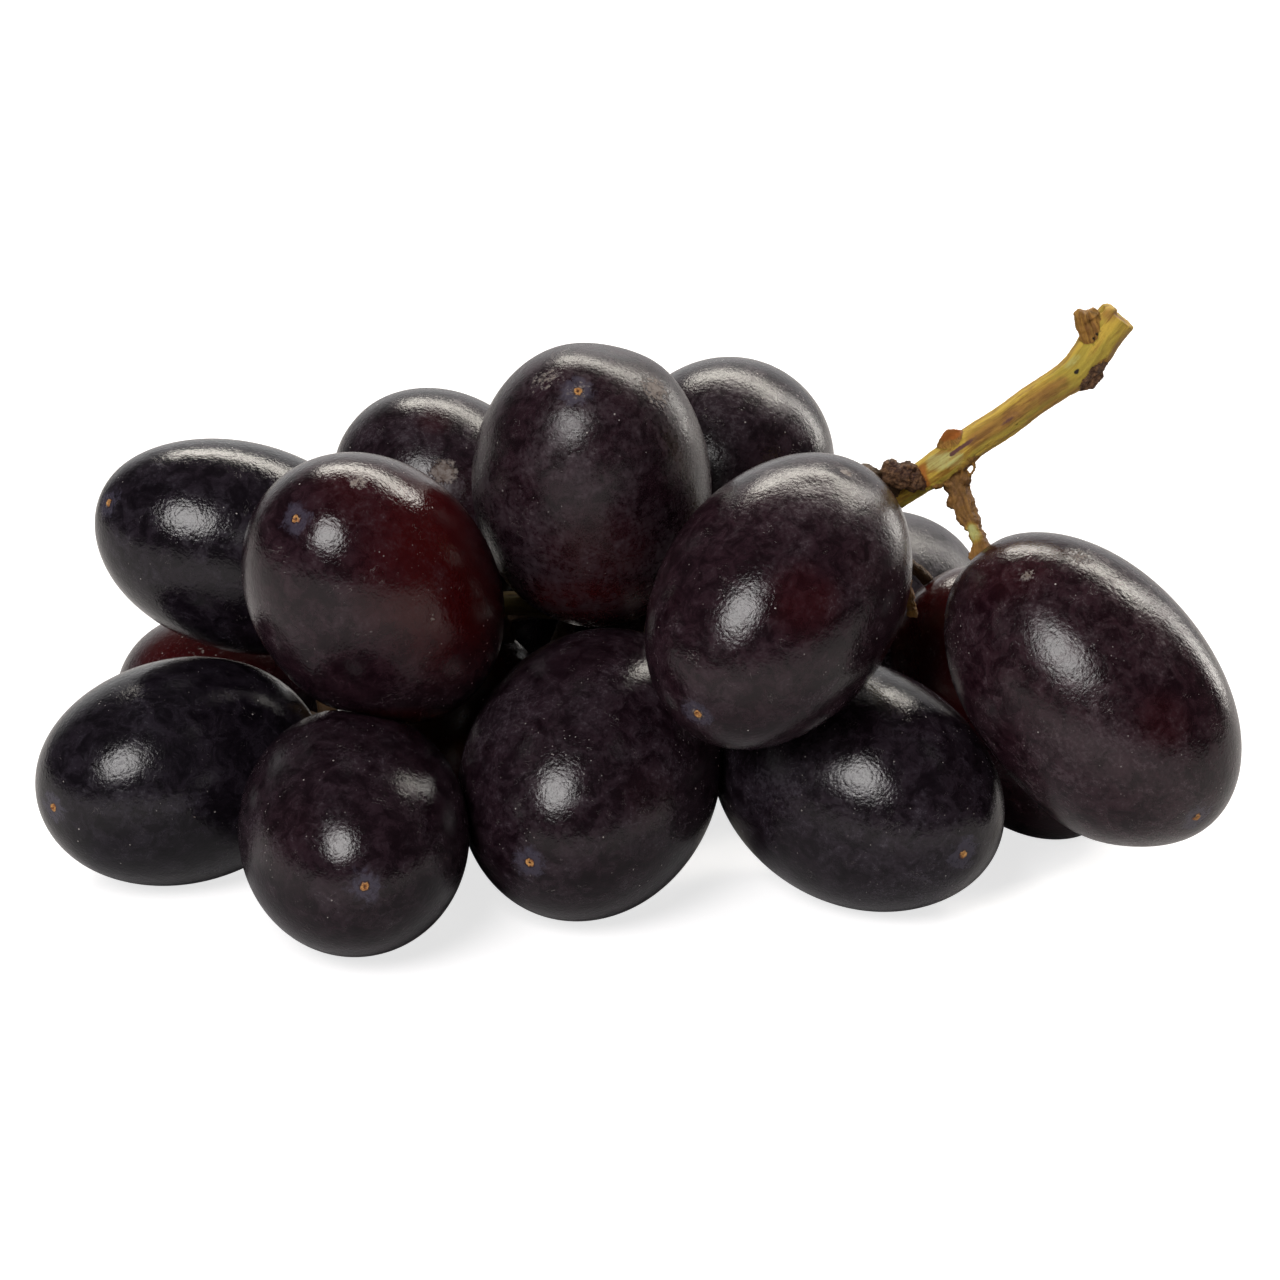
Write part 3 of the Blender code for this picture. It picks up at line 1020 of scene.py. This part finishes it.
def stain_and_shade_reach(places, start, end, radius):
    """How much of a mark along a line reaches each place, from 0 to 1; the marks are stains and
    painted shade.
    """
    start = np.array(start)
    line = np.array(end) - start
    share = np.clip((places - start) @ line / (line @ line), 0, 1)
    away = np.linalg.norm(places - start - share[:, None] * line, axis=1)
    return np.clip(1.5 - away / radius, 0, 1)


def carve(mesh, wood):
    """Raises ridges along the grain, and stores the grain's place and the strengths of the stains
    and of the painted shade.
    """
    tree = kdtree.KDTree(len(wood.lines))
    for index, line in enumerate(wood.lines):
        tree.insert(line[0], index)
    tree.balance()
    count = len(mesh.vertices)
    grain = np.zeros((count, 3))
    layers = {name: np.zeros(count) for name in (*LAYERS, "cork")}
    normals = [v.normal.copy() for v in mesh.vertices]
    hollows = [(Vector(centre), radius, depth) for centre, radius, depth in HOLLOWS]
    for vert, normal in zip(mesh.vertices, normals):
        place = vert.co / MM
        near = tree.find_n(place, NEIGHBOURS)
        index = min(near, key=lambda found: found[2] - wood.lines[found[1]][5])[1]
        centre, across, other, run, kind, _ = wood.lines[index]
        offset = place - centre
        way = Vector((offset.dot(across), offset.dot(other))).normalized()
        along = run + offset.dot(across.cross(other))
        grain[vert.index] = (way.x * GRAIN_ROUND, way.y * GRAIN_ROUND, along)
        brown, cork = SURFACES[kind]
        layers["brown"][vert.index] = brown
        layers["cork"][vert.index] = cork
        # Painted shade on every pedicel.
        layers["shade"][vert.index] = SIDE_SHADE if kind == "side" else 0
        net = Vector((way.x * RIDGES_ROUND, way.y * RIDGES_ROUND, along * RIDGES_ALONG))
        ridges = noise.fractal(net, 0.9, 2, 3)
        rough = noise.fractal(place * ROUGH_SCALE, 0.7, 2.2, 4)
        height = RIDGE_HEIGHT * ridges + ROUGH_HEIGHT * rough + cork * CORK_HEIGHT * rough
        if kind in GNARLED:
            height += GNARLED_ROUGH * rough + GNARLED_RIDGE * ridges
        for middle, radius, depth in hollows:
            away = (place - middle).length_squared / radius**2
            if away < HOLLOW_END:
                height -= depth * float(np.exp(-away))
        vert.co += normal * height * MM
    places = np.empty(count * 3)
    mesh.vertices.foreach_get("co", places)
    places = places.reshape(-1, 3) / MM
    for name, start, end, radius, strength in STAINS_AND_SHADE:
        layers[name] = np.maximum(layers[name], strength * stain_and_shade_reach(places, start, end, radius))
    for name in ("brown", "cork"):
        layers[name] = layers[name] * (1 - np.clip(layers["pale"], 0, 1))
    for name, values in layers.items():
        add_values(mesh, name, values)
    add_places(mesh, "grain", grain)


def bark():
    """Green wood with golden fibres, browned, stained and corky where the layers say, and
    darkened by painted shade deep in the bunch.
    """
    s = Shader("stem_bark")
    grain = s.attribute("grain", "Vector")
    stretch = {0: grain, 1: (1, 1, 0.09)}
    fibres = s.node("ShaderNodeVectorMath", stretch, operation="MULTIPLY").outputs[0]
    streaks = s.noise(fibres, 2.4, 6, 0.68, 0.5)
    broad = s.noise(fibres, 0.9, 3, 0.5, 0.5)
    place = s.place()
    blotch = s.noise(place, 0.5, 5, 0.65, 0.5)
    fine = s.noise(place, 2.5, 4, 0.7)

    def patchy(name, low, high):
        value = s.plus(s.attribute(name), s.times(s.plus(blotch, -0.5), 0.7))
        return s.ramp(s.plus(value, s.times(s.plus(streaks, -0.5), 0.7)), low, high)

    colour = s.mix(s.ramp(streaks, 0.36, 0.62), rgb(0.32, 0.155, 0.020), rgb(0.66, 0.45, 0.064))
    colour = s.mix(s.ramp(broad, 0.5, 0.62, 0.0, 0.7), colour, rgb(0.42, 0.34, 0.045))
    colour = s.mix(patchy("pale", 0.35, 0.8), colour, rgb(0.56, 0.56, 0.22))
    tan = s.mix(s.ramp(streaks, 0.35, 0.65), rgb(0.14, 0.05, 0.014), rgb(0.42, 0.20, 0.045))
    colour = s.mix(s.times(patchy("brown", 0.2, 0.95), 0.9), colour, tan)
    colour = s.mix(patchy("purple", 0.3, 0.7), colour, rgb(0.13, 0.05, 0.045))
    colour = s.mix(patchy("rust", 0.3, 0.8), colour, rgb(0.42, 0.13, 0.02))
    cork = s.mix(s.ramp(fine, 0.38, 0.68), rgb(0.035, 0.014, 0.010), rgb(0.22, 0.115, 0.06))
    colour = s.mix(s.times(patchy("cork", 0.35, 0.8), 0.9), colour, cork)
    specks = s.ramp(s.cells(place, 1.0), 0.07, 0.13, 1.0, 0.0)
    specks = s.times(specks, s.ramp(s.noise(place, 0.5, 2), 0.52, 0.6))
    # Painted shade: the wood deep in the bunch darkened to a dark brown.
    colour = s.mix(s.times(patchy("shade", 0.2, 0.8), 0.8), colour, rgb(0.05, 0.026, 0.009))
    colour = s.mix(s.times(specks, 0.8), colour, rgb(0.05, 0.02, 0.01))
    colour = s.mix(s.ramp(s.attribute("dark"), 0.2, 0.6), colour, rgb(0.012, 0.006, 0.004))
    height = s.plus(streaks, s.times(s.noise(place, 4.0, 4, 0.7), 0.6))
    normal = s.bump(height, BARK_RELIEF_DEPTH)
    rough = s.ramp(streaks, 0.3, 0.7, 0.5, 0.72)
    return s.finish(base_color=colour, roughness=rough, normal=normal, specular_ior_level=0.35)


# ---------------------------------------------------------------- studio

CAMERA_LENS = 150
SENSOR_WIDTH = 36
NEAREST_SEEN = 0.01
CAMERA_DISTANCE = 0.476
CAMERA_ELEVATION = 20
TARGET = Vector((0.0005, -0.0155, 0.025))
# The lamps aim at the middle of the bunch.
LAMP_TARGET = Vector((0, 0, 0.025))
# The floor's half width, how far its pale middle reaches before it darkens, as a painted pool of
# light round the bunch, and how much light it adds.
FLOOR_HALF = 1.6
FLOOR_PALE = (0.1, 0.9)
FLOOR_LIFT = 0.74
# The world's light on the bunch: how far back it starts and is full, and how strong it is.
WORLD_DEPTH = {"From Min": 0.6, "From Max": 1.0, "To Min": 0.04, "To Max": 0.9}


def make_camera():
    data = bpy.data.cameras.new("camera")
    data.lens = CAMERA_LENS
    data.sensor_width = SENSOR_WIDTH
    data.clip_start = NEAREST_SEEN
    camera = bpy.data.objects.new("camera", data)
    bpy.context.scene.collection.objects.link(camera)
    back = direction(0, CAMERA_ELEVATION)
    camera.location = TARGET + back * CAMERA_DISTANCE
    camera.rotation_euler = (-back).to_track_quat("-Z", "Y").to_euler()
    bpy.context.scene.camera = camera


def softbox(name, azimuth, elevation, distance, size, power, colour, shape="RECTANGLE"):
    data = bpy.data.lights.new(name, "AREA")
    data.shape = shape
    data.size, data.size_y = size
    data.energy = power
    data.color = colour
    lamp = bpy.data.objects.new(name, data)
    bpy.context.scene.collection.objects.link(lamp)
    towards = direction(azimuth, elevation)
    lamp.location = LAMP_TARGET + towards * distance
    lamp.rotation_euler = towards.to_track_quat("Z", "Y").to_euler()


def make_floor():
    mesh = bpy.data.meshes.new("floor")
    half = FLOOR_HALF
    corners = [(-half, -half, 0), (half, -half, 0), (half, half, 0), (-half, half, 0)]
    mesh.from_pydata(corners, [], [(0, 1, 2, 3)])
    s = Shader("floor_card")
    fibre = s.noise(s.place(), 0.8, 4, 0.6)
    colour = s.mix(fibre, rgb(0.58, 0.57, 0.58), rgb(0.60, 0.59, 0.60))
    metres = s.place((MM, MM, MM))
    away = s.node("ShaderNodeVectorMath", {0: metres}, operation="LENGTH").outputs["Value"]
    # Painted pool of light: the floor's colour darkens away from the bunch.
    colour = s.mix(s.ramp(away, *FLOOR_PALE), colour, rgb(0.22, 0.21, 0.22))
    seen = s.node("ShaderNodeLightPath").outputs["Is Camera Ray"]
    card = s.finish(base_color=colour, roughness=0.8, specular_ior_level=0.2)
    s.set(s.surface.inputs["Emission Color"], rgb(1, 1, 1))
    s.set(s.surface.inputs["Emission Strength"], s.times(seen, FLOOR_LIFT))
    mesh.materials.append(card)
    floor = bpy.data.objects.new("floor", mesh)
    bpy.context.scene.collection.objects.link(floor)


def make_world():
    """A studio: pale behind the bunch and low down, dim in front and overhead."""
    world = bpy.data.worlds.new("studio")
    bpy.context.scene.world = world
    world.use_nodes = True
    nodes = world.node_tree.nodes
    links = world.node_tree.links
    background = nodes["Background"]
    way = nodes.new("ShaderNodeTexCoord")
    split = nodes.new("ShaderNodeSeparateXYZ")
    links.new(way.outputs["Generated"], split.inputs[0])
    depth = nodes.new("ShaderNodeMapRange")
    depth.interpolation_type = "SMOOTHSTEP"
    links.new(split.outputs["Y"], depth.inputs["Value"])
    for key, value in WORLD_DEPTH.items():
        depth.inputs[key].default_value = value
    seen = nodes.new("ShaderNodeLightPath")
    pick = nodes.new("ShaderNodeMix")
    links.new(seen.outputs["Is Camera Ray"], pick.inputs["Factor"])
    links.new(depth.outputs["Result"], pick.inputs["A"])
    pick.inputs["B"].default_value = 1.0
    links.new(pick.outputs["Result"], background.inputs["Strength"])
    background.inputs["Color"].default_value = (1, 1, 1, 1)


def make_studio():
    make_camera()
    make_floor()
    make_world()
    softbox("key", -25, 37, 0.9, (0.46, 0.46), 6.2, (1.0, 0.98, 0.97), "DISK")
    softbox("top", 163, 48, 1.1, (1.25, 0.27), 12.5, (1.0, 0.95, 0.86))
    softbox("side", 131, 19, 1.1, (0.2, 0.88), 4.2, (1.0, 0.96, 0.9))
    bpy.context.scene.view_settings.view_transform = "Standard"


make_studio()
grape_shapes = make_grapes()
make_stem(grape_shapes)
